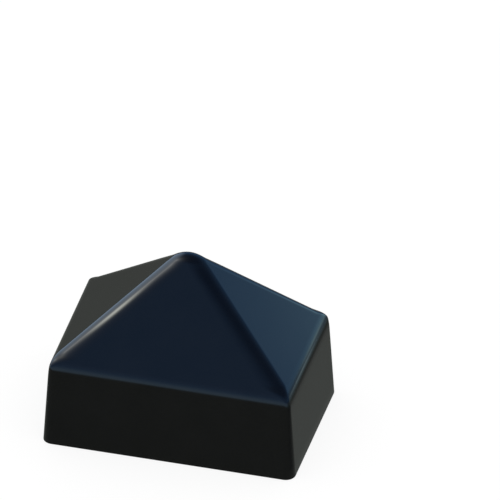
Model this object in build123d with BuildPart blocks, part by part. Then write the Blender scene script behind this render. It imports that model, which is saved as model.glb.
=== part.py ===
from build123d import *
from math import atan2, cos, degrees, sin
import os

# Pile cap: one hollow moulded shell with an open rim, to be slipped over the end of a rectangular pile.
# Millimetres. +Z is up, the rim stands on Z = 0, and the origin is at the middle of the rim.
# The long side runs along X.

# Driving dimensions
rim_length = 275.0      # along X, over the outside of the rim
rim_width = 177.5       # along Y, over the outside of the rim
skirt_height = 99.0     # rim to the eave, where skirt and roof planes meet
skirt_lean = 5.9        # how far each skirt wall leans in from the rim to the eave
roof_height = 119.0     # eave to the point where the four roof planes meet
wall = 3.2              # thickness of the shell, square to every face
corner_radius = 11.0    # upright corners at the rim; they tighten upwards with the lean
eave_radius = 25.0      # round from skirt to roof
hip_radius = 18.0       # round along the four sloping hips and over the tip
skim = 0.05             # how far the side views stand off the flat walls, so that only their round eaves cut

# Slopes of the planes
lean_angle = atan2(skirt_lean, skirt_height)
end_slope = atan2(roof_height, rim_length / 2 - skirt_lean)
long_slope = atan2(roof_height, rim_width / 2 - skirt_lean)
apex_z = skirt_height + roof_height


def roof_outline(slope, inset):
    """Half width at the rim plane and top height of one pair of roof planes, set in by inset."""
    top = apex_z - inset / cos(slope)
    half_base = top * cos(slope) / sin(slope)
    return half_base, top


def side_outline(half_width, slope, inset):
    """Rim, eave and top points of one side view, set in by inset, as (distance from the middle, Z)."""
    rim_x = half_width - inset / cos(lean_angle)
    top = roof_outline(slope, inset)[1]
    # The eave point is where the leaning skirt line meets the sloping roof line.
    lean_ratio = skirt_lean / skirt_height
    slope_ratio = sin(slope) / cos(slope)
    eave_x = (rim_x - lean_ratio * top) / (1 - lean_ratio * slope_ratio)
    eave_z = top - slope_ratio * eave_x
    return (rim_x, 0), (eave_x, eave_z), (0, top)


def rounded_roof(inset):
    """Four roof planes carried down to the rim plane, with every hip and the tip rounded."""
    end_base, end_top = roof_outline(end_slope, inset)
    long_base, long_top = roof_outline(long_slope, inset)
    with BuildPart() as roof:
        with BuildSketch(Plane.XZ):
            with BuildLine():
                Polyline((-end_base, 0), (0, end_top), (end_base, 0), close=True)
            make_face()
        extrude(amount=long_base, both=True)
        with BuildSketch(Plane.YZ):
            with BuildLine():
                Polyline((-long_base, 0), (0, long_top), (long_base, 0), close=True)
            make_face()
        extrude(amount=end_base, both=True, mode=Mode.INTERSECT)
        hips = roof.edges() - roof.edges().group_by(Axis.Z)[0]
        fillet(hips, radius=hip_radius - inset)
    return roof.part


def closed_form(inset):
    """The cap as a solid block, set in by inset: 0 gives the outside, wall gives the hollow.

    The skirt and the roof bring the flat walls, and the two side views cut the round eaves into them.
    """
    long_points = side_outline(rim_length / 2, end_slope, inset - skim)
    short_points = side_outline(rim_width / 2, long_slope, inset - skim)
    rim_inset = inset / cos(lean_angle)
    with BuildPart() as form:
        # Leaning skirt with upright corners, and a plain block over it for the roof to be cut from
        with BuildSketch(Plane.XY):
            RectangleRounded(rim_length - 2 * rim_inset, rim_width - 2 * rim_inset, corner_radius - inset)
        extrude(amount=skirt_height, taper=degrees(lean_angle))
        with BuildSketch(Plane.XY.offset(skirt_height)):
            Rectangle(rim_length, rim_width)
        extrude(amount=roof_height)
        # The two side views, with round eaves
        for plane, points, depth in ((Plane.XZ, long_points, rim_width), (Plane.YZ, short_points, rim_length)):
            rim_point, eave_point, top_point = points
            with BuildSketch(plane):
                with BuildLine():
                    right = FilletPolyline(rim_point, eave_point, top_point, radius=eave_radius - inset)
                    mirror(right, about=Plane.YZ)
                    Line(rim_point, (-rim_point[0], rim_point[1]))
                make_face()
            extrude(amount=depth, both=True, mode=Mode.INTERSECT)
        add(rounded_roof(inset), mode=Mode.INTERSECT)
    return form.part


with BuildPart() as cap_shell:
    add(closed_form(0))
    add(closed_form(wall), mode=Mode.SUBTRACT)

os.makedirs("parts", exist_ok=True)
cap_shell.part.label = "cap_shell"
export_step(cap_shell.part, "parts/cap_shell.step")
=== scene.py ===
"""Pile cap: one moulded black shell with a leaning skirt, a pyramid roof and an open rim.

The form is worked out in millimetres, with +Z up, the rim on Z = 0 and the long side along X, and is
turned into metres where the mesh is made.
"""
import math

import bpy
import numpy as np
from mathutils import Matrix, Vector


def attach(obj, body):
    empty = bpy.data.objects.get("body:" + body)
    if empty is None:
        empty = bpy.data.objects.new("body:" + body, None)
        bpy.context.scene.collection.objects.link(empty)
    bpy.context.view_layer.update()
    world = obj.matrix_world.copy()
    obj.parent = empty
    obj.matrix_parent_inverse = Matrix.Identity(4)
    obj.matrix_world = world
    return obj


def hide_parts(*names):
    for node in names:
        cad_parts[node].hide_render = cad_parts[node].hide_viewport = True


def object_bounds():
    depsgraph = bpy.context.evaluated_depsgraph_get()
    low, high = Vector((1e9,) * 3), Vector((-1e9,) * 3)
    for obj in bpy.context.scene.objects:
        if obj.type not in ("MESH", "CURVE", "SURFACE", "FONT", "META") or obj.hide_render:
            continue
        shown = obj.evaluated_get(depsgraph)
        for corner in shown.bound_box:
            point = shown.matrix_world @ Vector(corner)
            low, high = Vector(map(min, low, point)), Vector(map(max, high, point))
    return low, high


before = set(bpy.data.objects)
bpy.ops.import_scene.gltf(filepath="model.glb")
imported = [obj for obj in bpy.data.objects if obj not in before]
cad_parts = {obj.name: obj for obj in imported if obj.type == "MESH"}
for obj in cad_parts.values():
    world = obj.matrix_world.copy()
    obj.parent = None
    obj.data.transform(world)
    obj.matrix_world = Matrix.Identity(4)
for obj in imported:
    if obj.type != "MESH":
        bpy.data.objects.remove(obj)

cad_low, cad_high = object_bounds()
MM = 0.001

# Sizes of the cap, the overall ones taken from the frame
rim_half_x = (cad_high.x - cad_low.x) / 2 / MM
rim_half_y = (cad_high.y - cad_low.y) / 2 / MM
skirt_height = 99.0         # rim to the line where skirt and roof planes meet
roof_height = 119.0         # from that line to the point where the four roof planes meet
skirt_lean = 5.9            # how far a skirt wall leans in from the rim to the eave
wall = 3.2                  # thickness of the shell
upright_radius = 11.0       # corners at the rim; they tighten upwards with the lean
eave_radius = 25.0          # sets how far up the roof the round eave reaches
eave_on_wall = 20.0         # how far down the wall it reaches
eave_sharpness = 1.75       # weight of the eave's conic: over 1 it bends most at its middle
hip_on_long = (13.0, 18.4)  # how far a hip's round reaches onto a long roof face, at the tip and at the eave
hip_on_end = (12.0, 9.4)    # how far it reaches onto an end one
hip_sharpness = 1.16        # weight of a hip's conic over that of a circle
tip_drop = 10.0             # how far the rounded tip lies under the point of the four planes
tip_reach = 0.22            # share of the roof's height, from the top, over which the hips join in the tip
rim_edge_radius = 0.6       # the two edges of the rim
least_radius = 1.0          # the tightest that an upright corner gets
corner_low, corner_high = 94.5, 109.0   # between these heights an upright corner turns into a hip

apex = skirt_height + roof_height
lean_angle = math.atan2(skirt_lean, skirt_height)
end_slope = math.atan2(roof_height, rim_half_x - skirt_lean)
long_slope = math.atan2(roof_height, rim_half_y - skirt_lean)
crown = apex - tip_drop

# How fine the mesh is
corner_steps, side_steps = 28, 10       # points along a corner, and between two corners
skirt_rings, eave_rings, roof_rings, tip_rings = 6, 60, 10, 48
eave_band = 17.0                        # the eave's rings lie within this of the eave
rim_edge_steps = 5
inside_fineness = 0.6                   # rings on the inside, as a share of those on the outside


def smooth_step(t):
    """Three t squared minus two t cubed, held at 0 and 1 outside the span."""
    t = np.clip(t, 0.0, 1.0)
    return t * t * (3.0 - 2.0 * t)


def half_width(z, inset, half, slope):
    """Half width of one pair of sides at height z, for the form set in by inset.

    Four stretches follow each other upwards: the leaning wall, the eave, the straight roof, and the arc
    over the tip whose top lies tip_drop under the planes' point. The eave is a conic that touches the wall
    eave_on_wall below the eave point and the roof where a circle of eave_radius would; at height z its
    parameter t solves low (1 - t)^2 + 2 middle t (1 - t) + high t^2 = 0.
    """
    lean = skirt_lean / skirt_height
    rise = math.tan(slope)
    rim = half - inset / math.cos(lean_angle)
    top = apex - inset / math.cos(slope)
    eave_x = (rim - lean * top) / (1.0 - lean * rise)
    eave_z = top - rise * eave_x
    half_turn = math.tan((math.pi / 2 - slope - lean_angle) / 2)
    on_roof = (eave_radius - inset) * half_turn
    on_wall = eave_on_wall - inset * half_turn
    low_z, high_z = eave_z - on_wall * math.cos(lean_angle), eave_z + on_roof * math.sin(slope)
    low_x, high_x = rim - lean * low_z, (top - high_z) / rise
    middle = eave_sharpness * (eave_z - z)
    under = np.sqrt(np.maximum(middle ** 2 - (low_z - z) * (high_z - z), 0.0))
    t = np.clip((z - low_z) / np.maximum(middle - (low_z - z) + under, 1e-9), 0.0, 1.0)
    whole = (1 - t) ** 2 + 2 * eave_sharpness * t * (1 - t) + t ** 2
    eave_line = ((1 - t) ** 2 * low_x + 2 * eave_sharpness * t * (1 - t) * eave_x + t ** 2 * high_x) / whole
    tip = tip_drop / (1.0 / math.cos(slope) - 1.0) - inset
    tip_z = crown - inset - tip
    tip_low = tip_z + tip * math.cos(slope)
    wall_line = rim - lean * z
    roof_line = (top - z) / rise
    tip_arc = np.sqrt(np.maximum(tip ** 2 - (z - tip_z) ** 2, 0.0))
    upper = np.where(z < tip_low, roof_line, tip_arc)
    return np.where(z < low_z, wall_line, np.where(z < high_z, eave_line, upper))


def corner_form(z, inset, a, b):
    """Lengths of the corner round along X and Y, and its weight, at height z.

    Under the eave the corner is a quarter circle that tightens with the lean, and round the eave it tightens
    with what the walls bend in. Over it the corner is the level cut through a round hip, which is a conic.
    Round the tip it grows into a quarter ellipse.
    """
    end_normal = np.array([math.sin(end_slope), 0.0, math.cos(end_slope)])
    long_normal = np.array([0.0, math.sin(long_slope), math.cos(long_slope)])
    turn = math.acos(float(end_normal @ long_normal))
    less = inset * math.tan(turn / 2)
    down = np.clip((apex - z) / roof_height, 0.0, 1.0)
    on_long = hip_on_long[0] + (hip_on_long[1] - hip_on_long[0]) * down - less
    on_end = hip_on_end[0] + (hip_on_end[1] - hip_on_end[0]) * down - less
    end_run, long_run = rim_half_x - skirt_lean, rim_half_y - skirt_lean
    hip_x = on_long / math.sin(math.atan2(math.hypot(long_run, roof_height), end_run))
    hip_y = on_end / math.sin(math.atan2(math.hypot(end_run, roof_height), long_run))
    share = smooth_step((z - corner_low) / (corner_high - corner_low))
    leaned = skirt_lean * z / skirt_height
    rim_inset = inset / math.cos(lean_angle)
    tightened = upright_radius - inset - leaned
    upright_x = np.maximum(tightened - (rim_half_x - rim_inset - leaned - a), least_radius)
    upright_y = np.maximum(tightened - (rim_half_y - rim_inset - leaned - b), least_radius)
    length_x = upright_x + (hip_x - upright_x) * share
    length_y = upright_y + (hip_y - upright_y) * share
    quarter = math.sqrt(0.5)
    weight = quarter + (hip_sharpness * math.cos(turn / 2) - quarter) * share
    near_tip = crown - inset - roof_height * tip_reach
    top_share = smooth_step((z - near_tip) / (crown - inset - near_tip))
    weight = weight + (quarter - weight) * top_share
    # No corner is longer than its side: a power mean holds it under the half width
    power = 8.0
    length_x = (length_x ** -power + np.maximum(a, 1e-6) ** -power) ** (-1 / power)
    length_y = (length_y ** -power + np.maximum(b, 1e-6) ** -power) ** (-1 / power)
    return length_x, length_y, weight


def level_rings(z, inset):
    """One closed ring of points for each height z and inset, as an array of rings by points by three.

    A ring is four corner conics joined by four straight sides. The conic runs from (a, b - length_y) by the
    control point (a, b) to (a - length_x, b). Side points crowd towards the corners.
    """
    z = np.asarray(z, float)
    inset = np.asarray(inset, float)
    rows = np.zeros((5, len(z), 1))
    for step in np.unique(inset):
        chosen = inset == step
        a = half_width(z[chosen], step, rim_half_x, end_slope)
        b = half_width(z[chosen], step, rim_half_y, long_slope)
        length_x, length_y, weight = corner_form(z[chosen], step, a, b)
        for row, values in zip(rows, (a, b, length_x, length_y, weight)):
            row[chosen, 0] = values
    a, b, length_x, length_y, weight = rows
    t = np.linspace(0.0, 1.0, corner_steps + 1)[None, :]
    whole = (1 - t) ** 2 + 2 * t * (1 - t) * weight + t ** 2
    x = ((1 - t) ** 2 * a + 2 * t * (1 - t) * weight * a + t ** 2 * (a - length_x)) / whole
    y = ((1 - t) ** 2 * (b - length_y) + 2 * t * (1 - t) * weight * b + t ** 2 * b) / whole
    crowd = (1 - np.cos(np.linspace(0.0, math.pi, side_steps + 2)[1:-1])) / 2
    back_x = (a - length_x) * (1 - 2 * crowd[None, :])
    back_y = np.broadcast_to(b, back_x.shape)
    side_y = (b - length_y) * (1 - 2 * crowd[None, :])
    side_x = np.broadcast_to(a, side_y.shape)
    ring_x = np.concatenate([x, back_x, -x[:, ::-1], -side_x, -x, -back_x, x[:, ::-1], side_x], 1)
    ring_y = np.concatenate([y, back_y, y[:, ::-1], side_y, -y, -back_y, -y[:, ::-1], -side_y], 1)
    ring_z = np.broadcast_to(z[:, None], ring_x.shape)
    return np.stack([ring_x, ring_y, ring_z], -1)


def wall_heights(inset, low, fine):
    """Heights of the rings of one face of the shell from low to the top: crowded at the eave and the tip."""
    top = crown - inset
    eave_low, eave_high = skirt_height - eave_band, skirt_height + eave_band
    tip_low = top - roof_height * tip_reach
    skirt = np.linspace(low, eave_low, int(skirt_rings * fine) + 1)
    eave = np.linspace(eave_low, eave_high, int(eave_rings * fine) + 1)[1:]
    roof = np.linspace(eave_high, tip_low, int(roof_rings * fine) + 1)[1:]
    closing = np.linspace(0.0, 1.0, int(tip_rings * fine) + 1)[1:]
    tip = tip_low + (top - tip_low) * (1 - (1 - closing) ** 2)
    return np.concatenate([skirt, eave, roof, tip])


def cap_mesh(name):
    """The closed shell: down the outside, round the rim and up the inside, with one point at each pole."""
    turn = np.linspace(0.0, math.pi / 2, rim_edge_steps + 1)
    outer = wall_heights(0.0, rim_edge_radius, 1.0)[::-1]
    inner = wall_heights(wall, rim_edge_radius, inside_fineness)
    edge_z = rim_edge_radius * (1 - np.sin(turn))[1:]
    edge_in = rim_edge_radius * (1 - np.cos(turn))[1:]
    z = np.concatenate([outer[1:], edge_z, edge_z[::-1], inner[:-1]])
    inset = np.concatenate([np.zeros(len(outer) - 1), edge_in,
                            wall - edge_in[::-1], np.full(len(inner) - 1, wall)])
    rings = level_rings(z, inset)
    count, around = rings.shape[:2]
    poles = np.array([[0.0, 0.0, crown], [0.0, 0.0, crown - wall]])
    points = np.concatenate([rings.reshape(-1, 3), poles]) * MM
    here = np.arange(count - 1)[:, None] * around + np.arange(around)[None, :]
    beside = np.arange(count - 1)[:, None] * around + (np.arange(around)[None, :] + 1) % around
    quads = np.stack([here, here + around, beside + around, beside], -1).reshape(-1, 4)
    step = np.arange(around)
    following = (step + 1) % around
    last = (count - 1) * around
    outer_fan = np.stack([step, following, np.full(around, count * around)], -1)
    inner_fan = np.stack([last + following, last + step, np.full(around, count * around + 1)], -1)
    mesh = bpy.data.meshes.new(name)
    mesh.from_pydata(points.tolist(), [], quads.tolist() + outer_fan.tolist() + inner_fan.tolist())
    mesh.polygons.foreach_set("use_smooth", np.ones(len(mesh.polygons), bool))
    # Material 0 is the outside and 1 the inside; the last faces are the outer and then the inner fan
    outside_rings = len(outer) - 1 + len(edge_z)
    is_inside = np.zeros(len(mesh.polygons), np.int32)
    is_inside[: len(quads)] = (np.arange(len(quads)) // around >= outside_rings).astype(np.int32)
    is_inside[len(quads) + around:] = 1
    mesh.polygons.foreach_set("material_index", is_inside)
    mesh.validate()
    mesh.update()
    return mesh


def node(tree, kind, place, **values):
    """A new node of that kind, with the values given by socket name set on it."""
    made = tree.nodes.new(kind)
    made.location = place
    for key, value in values.items():
        made.inputs[key.replace("_", " ")].default_value = value
    return made


def moulded_surface_group():
    """Node group: the small unevenness of moulded plastic.

    Colour is a slow mottling from Dark to Pale with a few pale dust specks, Roughness wanders between the two
    Gloss values in fine swirls, and Height is a fine grain over a slow waviness, in metres.
    """
    grain_depth = 0.000004
    wave_depth = 0.00005
    group = bpy.data.node_groups.new("moulded_surface", "ShaderNodeTree")
    group.interface.new_socket("Dark", in_out="INPUT", socket_type="NodeSocketColor")
    group.interface.new_socket("Pale", in_out="INPUT", socket_type="NodeSocketColor")
    group.interface.new_socket("Gloss Low", in_out="INPUT", socket_type="NodeSocketFloat")
    group.interface.new_socket("Gloss High", in_out="INPUT", socket_type="NodeSocketFloat")
    group.interface.new_socket("Colour", in_out="OUTPUT", socket_type="NodeSocketColor")
    group.interface.new_socket("Roughness", in_out="OUTPUT", socket_type="NodeSocketFloat")
    group.interface.new_socket("Height", in_out="OUTPUT", socket_type="NodeSocketFloat")
    given = group.nodes.new("NodeGroupInput")
    given.location = (-900, 0)
    out = group.nodes.new("NodeGroupOutput")
    out.location = (700, 0)
    place = group.nodes.new("ShaderNodeTexCoord")
    place.location = (-900, -300)
    link = group.links.new

    mottle = node(group, "ShaderNodeTexNoise", (-600, 200), Scale=24.0, Detail=3.0, Roughness=0.6)
    link(place.outputs["Object"], mottle.inputs["Vector"])
    specks = node(group, "ShaderNodeTexVoronoi", (-600, -50), Scale=210.0)
    link(place.outputs["Object"], specks.inputs["Vector"])
    speck_mask = node(group, "ShaderNodeMapRange", (-350, -50))
    speck_mask.inputs["From Min"].default_value = 0.10
    speck_mask.inputs["From Max"].default_value = 0.05
    link(specks.outputs["Distance"], speck_mask.inputs["Value"])
    rare = node(group, "ShaderNodeTexNoise", (-600, -300), Scale=60.0, Detail=1.0)
    link(place.outputs["Object"], rare.inputs["Vector"])
    rare_mask = node(group, "ShaderNodeMapRange", (-350, -300))
    rare_mask.inputs["From Min"].default_value = 0.62
    rare_mask.inputs["From Max"].default_value = 0.70
    link(rare.outputs["Fac"], rare_mask.inputs["Value"])
    dust = group.nodes.new("ShaderNodeMath")
    dust.operation = "MULTIPLY"
    dust.location = (-100, -150)
    link(speck_mask.outputs["Result"], dust.inputs[0])
    link(rare_mask.outputs["Result"], dust.inputs[1])
    tone = group.nodes.new("ShaderNodeMath")
    tone.operation = "MAXIMUM"
    tone.location = (100, 50)
    slow_tone = node(group, "ShaderNodeMapRange", (-350, 200))
    slow_tone.inputs["From Min"].default_value = 0.3
    slow_tone.inputs["From Max"].default_value = 0.7
    slow_tone.inputs["To Max"].default_value = 0.35
    link(mottle.outputs["Fac"], slow_tone.inputs["Value"])
    link(slow_tone.outputs["Result"], tone.inputs[0])
    link(dust.outputs["Value"], tone.inputs[1])
    colour = group.nodes.new("ShaderNodeMix")
    colour.data_type = "RGBA"
    colour.location = (350, 200)
    link(tone.outputs["Value"], colour.inputs[0])
    link(given.outputs["Dark"], colour.inputs[6])
    link(given.outputs["Pale"], colour.inputs[7])
    link(colour.outputs[2], out.inputs["Colour"])

    swirl = node(group, "ShaderNodeTexNoise", (-600, -550), Scale=90.0, Detail=5.0, Roughness=0.7)
    link(place.outputs["Object"], swirl.inputs["Vector"])
    gloss = node(group, "ShaderNodeMapRange", (100, -300))
    gloss.inputs["From Min"].default_value = 0.3
    gloss.inputs["From Max"].default_value = 0.7
    link(swirl.outputs["Fac"], gloss.inputs["Value"])
    link(given.outputs["Gloss Low"], gloss.inputs["To Min"])
    link(given.outputs["Gloss High"], gloss.inputs["To Max"])
    link(gloss.outputs["Result"], out.inputs["Roughness"])

    grain = node(group, "ShaderNodeTexNoise", (-600, -800), Scale=900.0, Detail=2.0)
    link(place.outputs["Object"], grain.inputs["Vector"])
    wave = node(group, "ShaderNodeTexNoise", (-600, -1050), Scale=14.0, Detail=1.0)
    link(place.outputs["Object"], wave.inputs["Vector"])
    grain_height = group.nodes.new("ShaderNodeMath")
    grain_height.operation = "MULTIPLY"
    grain_height.inputs[1].default_value = grain_depth
    grain_height.location = (-100, -800)
    link(grain.outputs["Fac"], grain_height.inputs[0])
    height = group.nodes.new("ShaderNodeMath")
    height.operation = "MULTIPLY_ADD"
    height.inputs[1].default_value = wave_depth
    height.location = (100, -900)
    link(wave.outputs["Fac"], height.inputs[0])
    link(grain_height.outputs["Value"], height.inputs[2])
    link(height.outputs["Value"], out.inputs["Height"])
    return group


def plastic(name, group, dark, pale, gloss_low, gloss_high):
    """Black moulded plastic: a dark dielectric whose tone, roughness and height come from the group."""
    material = bpy.data.materials.new(name)
    material.use_nodes = True
    tree = material.node_tree
    tree.nodes.clear()
    out = tree.nodes.new("ShaderNodeOutputMaterial")
    out.location = (700, 0)
    shader = node(tree, "ShaderNodeBsdfPrincipled", (400, 0), IOR=1.5)
    surface = tree.nodes.new("ShaderNodeGroup")
    surface.node_tree = group
    surface.location = (-100, 0)
    surface.inputs["Dark"].default_value = (*dark, 1.0)
    surface.inputs["Pale"].default_value = (*pale, 1.0)
    surface.inputs["Gloss Low"].default_value = gloss_low
    surface.inputs["Gloss High"].default_value = gloss_high
    bump = node(tree, "ShaderNodeBump", (150, -250), Strength=1.0, Distance=1.0)
    tree.links.new(surface.outputs["Height"], bump.inputs["Height"])
    tree.links.new(surface.outputs["Colour"], shader.inputs["Base Color"])
    tree.links.new(surface.outputs["Roughness"], shader.inputs["Roughness"])
    tree.links.new(bump.outputs["Normal"], shader.inputs["Normal"])
    tree.links.new(shader.outputs["BSDF"], out.inputs["Surface"])
    return material


def build_cap():
    """The cap as one piece, standing for the solid shell."""
    surface_group = moulded_surface_group()
    outside = plastic("black_moulded_outside", surface_group, dark=(0.0020, 0.0021, 0.0024),
                      pale=(0.0060, 0.0062, 0.0066), gloss_low=0.05, gloss_high=0.09)
    inside = plastic("black_moulded_inside", surface_group, dark=(0.0035, 0.0035, 0.0037),
                     pale=(0.010, 0.010, 0.0105), gloss_low=0.28, gloss_high=0.40)
    cap = bpy.data.objects.new("moulded_cap", cap_mesh("moulded_cap"))
    bpy.context.scene.collection.objects.link(cap)
    cap.data.materials.append(outside)
    cap.data.materials.append(inside)
    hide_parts("cap_shell")
    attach(cap, "root")
    return cap


def square_mesh(name, half):
    """A level square that faces up, with the middle at the origin and sides of twice half."""
    mesh = bpy.data.meshes.new(name)
    corners = [(-half, -half, 0), (half, -half, 0), (half, half, 0), (-half, half, 0)]
    mesh.from_pydata(corners, [], [(0, 1, 2, 3)])
    return mesh


def build_floor():
    """A pale floor. The camera sees it as white with the cap's faint shadow; gloss sees the world instead.

    To the camera own_share of it glows and the rest is lit paint, and the two together come to white.
    """
    half, paint, own_light, own_share = 12.0, 0.9, 1.12, 0.75
    mesh = square_mesh("floor", half)
    floor = bpy.data.objects.new("floor", mesh)
    bpy.context.scene.collection.objects.link(floor)
    material = bpy.data.materials.new("pale_floor")
    material.use_nodes = True
    tree = material.node_tree
    tree.nodes.clear()
    out = tree.nodes.new("ShaderNodeOutputMaterial")
    ray = tree.nodes.new("ShaderNodeLightPath")
    lit = tree.nodes.new("ShaderNodeBsdfDiffuse")
    lit.inputs["Color"].default_value = (paint, paint, paint, 1.0)
    glow = tree.nodes.new("ShaderNodeEmission")
    glow.inputs["Color"].default_value = (own_light, own_light, own_light, 1.0)
    mix = tree.nodes.new("ShaderNodeMixShader")
    share = tree.nodes.new("ShaderNodeMath")
    share.operation = "MULTIPLY_ADD"
    share.inputs[1].default_value = own_share
    tree.links.new(ray.outputs["Is Camera Ray"], share.inputs[0])
    tree.links.new(ray.outputs["Is Transmission Ray"], share.inputs[2])
    tree.links.new(share.outputs["Value"], mix.inputs["Fac"])
    tree.links.new(lit.outputs["BSDF"], mix.inputs[1])
    tree.links.new(glow.outputs["Emission"], mix.inputs[2])
    tree.links.new(mix.outputs["Shader"], out.inputs["Surface"])
    mesh.materials.append(material)
    floor.visible_glossy = False
    return floor


def direction(azimuth, elevation):
    """Unit vector for a heading from +Y towards +X and a height above the horizon, in degrees."""
    a, e = math.radians(azimuth), math.radians(elevation)
    return np.array([math.sin(a) * math.cos(e), math.cos(a) * math.cos(e), math.sin(e)])


def math_node(tree, operation, *given):
    """A math node of that operation; each input is a number or the output it is linked from."""
    made = tree.nodes.new("ShaderNodeMath")
    made.operation = operation
    for number, value in enumerate(given):
        if isinstance(value, (int, float)):
            made.inputs[number].default_value = value
        else:
            tree.links.new(value, made.inputs[number])
    return made.outputs["Value"]


def smooth_node(tree, value, low, high):
    """Value turned into a smooth step from 0 at low to 1 at high."""
    made = tree.nodes.new("ShaderNodeMapRange")
    made.interpolation_type = "SMOOTHSTEP"
    made.inputs["From Min"].default_value = low
    made.inputs["From Max"].default_value = high
    tree.links.new(value, made.inputs["Value"])
    return made.outputs["Result"]


def sky_ramp(tree, rise, stops):
    """Colours by elevation in degrees, looked up by the upward part of the direction."""
    ramp = tree.nodes.new("ShaderNodeValToRGB")
    tree.links.new(math_node(tree, "MULTIPLY_ADD", rise, 0.5, 0.5), ramp.inputs["Fac"])
    elements = ramp.color_ramp.elements
    for number, (elevation, colour) in enumerate(stops):
        position = 0.5 + 0.5 * math.sin(math.radians(elevation))
        stop = elements[number] if number < 2 else elements.new(position)
        stop.position = position
        stop.color = (*colour, 1.0)
    return ramp.outputs["Color"]


def blend(tree, factor, first, second):
    """First and second colour mixed by the factor."""
    made = tree.nodes.new("ShaderNodeMix")
    made.data_type = "RGBA"
    tree.links.new(factor, made.inputs[0])
    for socket, colour in ((made.inputs[6], first), (made.inputs[7], second)):
        if isinstance(colour, tuple):
            socket.default_value = (*colour, 1.0)
        else:
            tree.links.new(colour, socket)
    return made.outputs[2]


def towards(tree, heading, aim):
    """Cosine of the angle between the heading looked at and the aim."""
    made = tree.nodes.new("ShaderNodeVectorMath")
    made.operation = "DOT_PRODUCT"
    made.inputs[1].default_value = aim
    tree.links.new(heading, made.inputs[0])
    return made.outputs["Value"]


def added_glow(tree, total, strength, colour):
    """Total plus the colour times the strength."""
    scaled = tree.nodes.new("ShaderNodeVectorMath")
    scaled.operation = "SCALE"
    scaled.inputs[0].default_value = colour
    tree.links.new(strength, scaled.inputs["Scale"])
    made = tree.nodes.new("ShaderNodeVectorMath")
    made.operation = "ADD"
    tree.links.new(total, made.inputs[0])
    tree.links.new(scaled.outputs["Vector"], made.inputs[1])
    return made.outputs["Vector"]


def mirrored_world(tree):
    """What gloss sees: a grey ground and a blue sky, one in front and one behind, and two glows on the left.

    The skies are colours by elevation in degrees. They blend by the cosine of the angle from the way behind.
    A wide glow lies low on the left, and a narrow one high up there falls off as e to the minus angle over
    lamp_fall. Far on the left the ground is a little paler, up to the horizon.
    """
    front_ground = (0.150, 0.162, 0.149)
    back_ground = (0.170, 0.183, 0.171)
    far_ground = (0.184, 0.197, 0.182)
    place = tree.nodes.new("ShaderNodeTexCoord")
    heading = place.outputs["Generated"]
    split = tree.nodes.new("ShaderNodeSeparateXYZ")
    tree.links.new(heading, split.inputs["Vector"])
    rise = split.outputs["Z"]
    front = sky_ramp(tree, rise, [
        (-90, front_ground), (90, (0.03, 0.08, 0.20)), (-23.4, front_ground), (-21.8, (0.44, 0.66, 0.88)),
        (-18, (0.40, 0.62, 0.92)), (-13, (0.26, 0.47, 0.79)), (-7, (0.19, 0.36, 0.68)),
        (5, (0.165, 0.31, 0.60)), (20, (0.135, 0.27, 0.545)), (33, (0.118, 0.257, 0.53)),
        (45, (0.075, 0.185, 0.415)), (59, (0.035, 0.10, 0.25))])
    behind = sky_ramp(tree, rise, [
        (-90, back_ground), (90, (0.03, 0.08, 0.20)), (-33, back_ground), (-31, (0.150, 0.160, 0.152)),
        (-29, (0.090, 0.100, 0.095)), (-27, (0.085, 0.095, 0.090)), (-25, (0.100, 0.125, 0.125)),
        (-23, (0.14, 0.20, 0.21)), (-20, (0.16, 0.22, 0.26)), (-10, (0.13, 0.20, 0.29)),
        (-3, (0.09, 0.18, 0.34)), (2, (0.10, 0.25, 0.50)), (8, (0.11, 0.28, 0.62)),
        (12, (0.15, 0.37, 0.75)), (15.6, (0.212, 0.452, 0.838)), (18, (0.15, 0.35, 0.69)),
        (24, (0.10, 0.26, 0.55)), (36, (0.10, 0.23, 0.48)), (59, (0.045, 0.11, 0.26))])
    way_behind, wide_middle, lamp_middle, low_left_middle = (
        direction(azimuth, elevation) for azimuth, elevation in ((35, 0), (-62, 12), (-97, 39), (-40, -8)))
    lamp_fall = math.radians(11.0)
    sky = blend(tree, smooth_node(tree, towards(tree, heading, way_behind), -0.4, 0.6), front, behind)
    wide = smooth_node(tree, towards(tree, heading, wide_middle), 0.72, 0.99)
    sky = added_glow(tree, sky, wide, (1.16, 1.40, 1.63))
    angle = math_node(tree, "ARCCOSINE", towards(tree, heading, lamp_middle))
    near_lamp = math_node(tree, "POWER", math.e, math_node(tree, "MULTIPLY", angle, -1.0 / lamp_fall))
    sky = added_glow(tree, sky, near_lamp, (3.7, 3.7, 3.5))
    near_left = smooth_node(tree, towards(tree, heading, low_left_middle), 0.68, 0.84)
    under_horizon = math_node(tree, "SUBTRACT", 1.0, smooth_node(tree, rise, 0.0, 0.04))
    low_left = math_node(tree, "MULTIPLY", near_left, under_horizon)
    return blend(tree, low_left, sky, far_ground)


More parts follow.
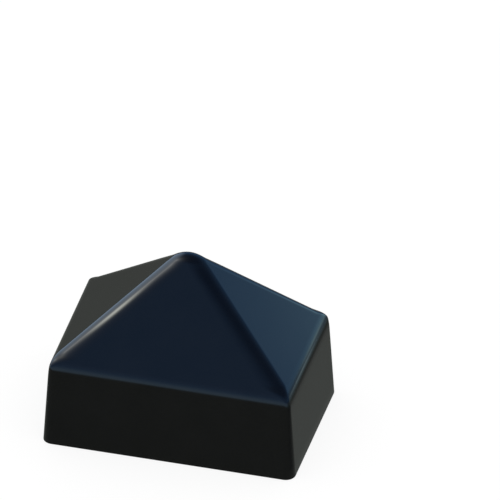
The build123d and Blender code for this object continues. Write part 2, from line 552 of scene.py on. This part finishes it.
def build_world():
    """White for the camera, plain soft light for matt surfaces, and the mirrored world for gloss."""
    world = bpy.data.worlds.new("studio")
    bpy.context.scene.world = world
    world.use_nodes = True
    tree = world.node_tree
    tree.nodes.clear()
    room_light = 0.8
    out = tree.nodes.new("ShaderNodeOutputWorld")
    ray = tree.nodes.new("ShaderNodeLightPath")
    mirrored = tree.nodes.new("ShaderNodeBackground")
    tree.links.new(mirrored_world(tree), mirrored.inputs["Color"])
    plain = tree.nodes.new("ShaderNodeBackground")
    plain.inputs["Color"].default_value = (1.0, 1.0, 1.0, 1.0)
    plain.inputs["Strength"].default_value = room_light
    white = tree.nodes.new("ShaderNodeBackground")
    white.inputs["Color"].default_value = (1.0, 1.0, 1.0, 1.0)
    for_gloss = tree.nodes.new("ShaderNodeMixShader")
    tree.links.new(ray.outputs["Is Glossy Ray"], for_gloss.inputs["Fac"])
    tree.links.new(plain.outputs["Background"], for_gloss.inputs[1])
    tree.links.new(mirrored.outputs["Background"], for_gloss.inputs[2])
    for_camera = tree.nodes.new("ShaderNodeMixShader")
    see_white = math_node(tree, "ADD", ray.outputs["Is Camera Ray"], ray.outputs["Is Transmission Ray"])
    tree.links.new(see_white, for_camera.inputs["Fac"])
    tree.links.new(for_gloss.outputs["Shader"], for_camera.inputs[1])
    tree.links.new(white.outputs["Background"], for_camera.inputs[2])
    tree.links.new(for_camera.outputs["Shader"], out.inputs["Surface"])


def aim_at(thing, point):
    """Turns a lamp, a card or the camera so that its -Z looks at the point."""
    away = thing.location - point
    thing.rotation_mode = "QUATERNION"
    thing.rotation_quaternion = away.to_track_quat("Z", "Y")


def build_lamp():
    """A soft round key lamp, which gloss doesn't see. Its power is the radiance over its disk."""
    azimuth, elevation, far = 60.0, 62.0, 2.2
    across, radiance = 1.0, 0.25
    lamp = bpy.data.lights.new("key_lamp", "AREA")
    lamp.shape = "DISK"
    lamp.size = across
    lamp.energy = radiance * math.pi * math.pi * (across / 2) ** 2
    thing = bpy.data.objects.new("key_lamp", lamp)
    bpy.context.scene.collection.objects.link(thing)
    thing.location = Vector(direction(azimuth, elevation) * far)
    aim_at(thing, Vector((0.0, 0.0, 0.0)))
    thing.visible_camera = False
    thing.visible_glossy = False


def soft_glow(name, centre, facing, reach, colour):
    """A clear card with a soft round glow that gloss alone sees.

    The glow falls off as e to the minus square of the distance from the centre over the reach.
    """
    faded_at = 3.0 * reach
    mesh = square_mesh(name, faded_at)
    card = bpy.data.objects.new(name, mesh)
    bpy.context.scene.collection.objects.link(card)
    card.location = Vector(centre)
    aim_at(card, Vector(centre + facing))
    material = bpy.data.materials.new(name)
    material.use_nodes = True
    tree = material.node_tree
    tree.nodes.clear()
    out = tree.nodes.new("ShaderNodeOutputMaterial")
    place = tree.nodes.new("ShaderNodeTexCoord")
    length = tree.nodes.new("ShaderNodeVectorMath")
    length.operation = "LENGTH"
    tree.links.new(place.outputs["Object"], length.inputs[0])
    scaled = math_node(tree, "DIVIDE", length.outputs["Value"], reach)
    square = math_node(tree, "MULTIPLY", scaled, scaled)
    fall = math_node(tree, "POWER", math.e, math_node(tree, "MULTIPLY", square, -1.0))
    glow = tree.nodes.new("ShaderNodeEmission")
    glow.inputs["Color"].default_value = (*colour, 1.0)
    tree.links.new(fall, glow.inputs["Strength"])
    clear = tree.nodes.new("ShaderNodeBsdfTransparent")
    both = tree.nodes.new("ShaderNodeAddShader")
    tree.links.new(glow.outputs["Emission"], both.inputs[0])
    tree.links.new(clear.outputs["BSDF"], both.inputs[1])
    tree.links.new(both.outputs["Shader"], out.inputs["Surface"])
    mesh.materials.append(material)
    card.visible_camera = False
    card.visible_diffuse = False
    card.visible_shadow = False
    card.visible_transmission = False


def build_glows():
    """Four glows near the cap, each set off from a point in millimetres by metres ahead and to the side.

    The large one behind brightens the right roof face and eave towards their far end, the two small ones
    beside it brighten the middle of that eave, and the one on the left draws the streak along the left hip.
    """
    for name, point, azimuth, elevation, far, aside, reach, colour in (
        ("back_glow", (137.0, 0.0, 168.5), 35.0, 0.0, 0.868, -0.147, 0.149, (1.10, 1.86, 2.02)),
        ("side_glow", (137.0, -12.0, 4.0), 35.0, 0.0, 0.35, 0.0, 0.032, (0.42, 0.57, 0.58)),
        ("mid_glow", (137.0, 12.0, 82.0), 35.0, 0.0, 0.35, 0.0, 0.030, (0.44, 0.60, 0.57)),
        ("streak_glow", (-69.0, -43.7, 152.8), -105.5, 41.5, 0.16, 0.0, 0.030, (6.6, 6.7, 5.8)),
    ):
        heading = direction(azimuth, elevation)
        sideways = direction(azimuth + 90.0, 0.0)
        soft_glow(name, np.array(point) * MM + heading * far + sideways * aside, heading, reach, colour)


def build_camera():
    """The photo's view: parallel, from 15 degrees to the right of the front and 35.26 degrees up."""
    frame_pixels = 500.0
    pixels_per_mm = 0.949
    rim_centre_pixel = (188.34, 414.72)
    middle_pixel = (frame_pixels - 1) / 2
    azimuth, elevation = math.radians(15.0), math.radians(35.264)
    right = np.array([math.cos(azimuth), math.sin(azimuth), 0.0])
    back = np.array([math.sin(azimuth) * math.cos(elevation), -math.cos(azimuth) * math.cos(elevation),
                     math.sin(elevation)])
    up = np.cross(back, right)
    pixels_right, pixels_up = middle_pixel - rim_centre_pixel[0], rim_centre_pixel[1] - middle_pixel
    look = (right * pixels_right + up * pixels_up) / pixels_per_mm
    camera = bpy.data.cameras.new("camera")
    camera.type = "ORTHO"
    camera.ortho_scale = frame_pixels / pixels_per_mm * MM
    thing = bpy.data.objects.new("camera", camera)
    bpy.context.scene.collection.objects.link(thing)
    far = 2.0
    thing.location = Vector(look * MM + back * far)
    aim_at(thing, Vector(look * MM))
    bpy.context.scene.camera = thing


build_cap()
build_floor()
build_world()
build_lamp()
build_glows()
build_camera()
bpy.context.scene.view_settings.view_transform = "Standard"
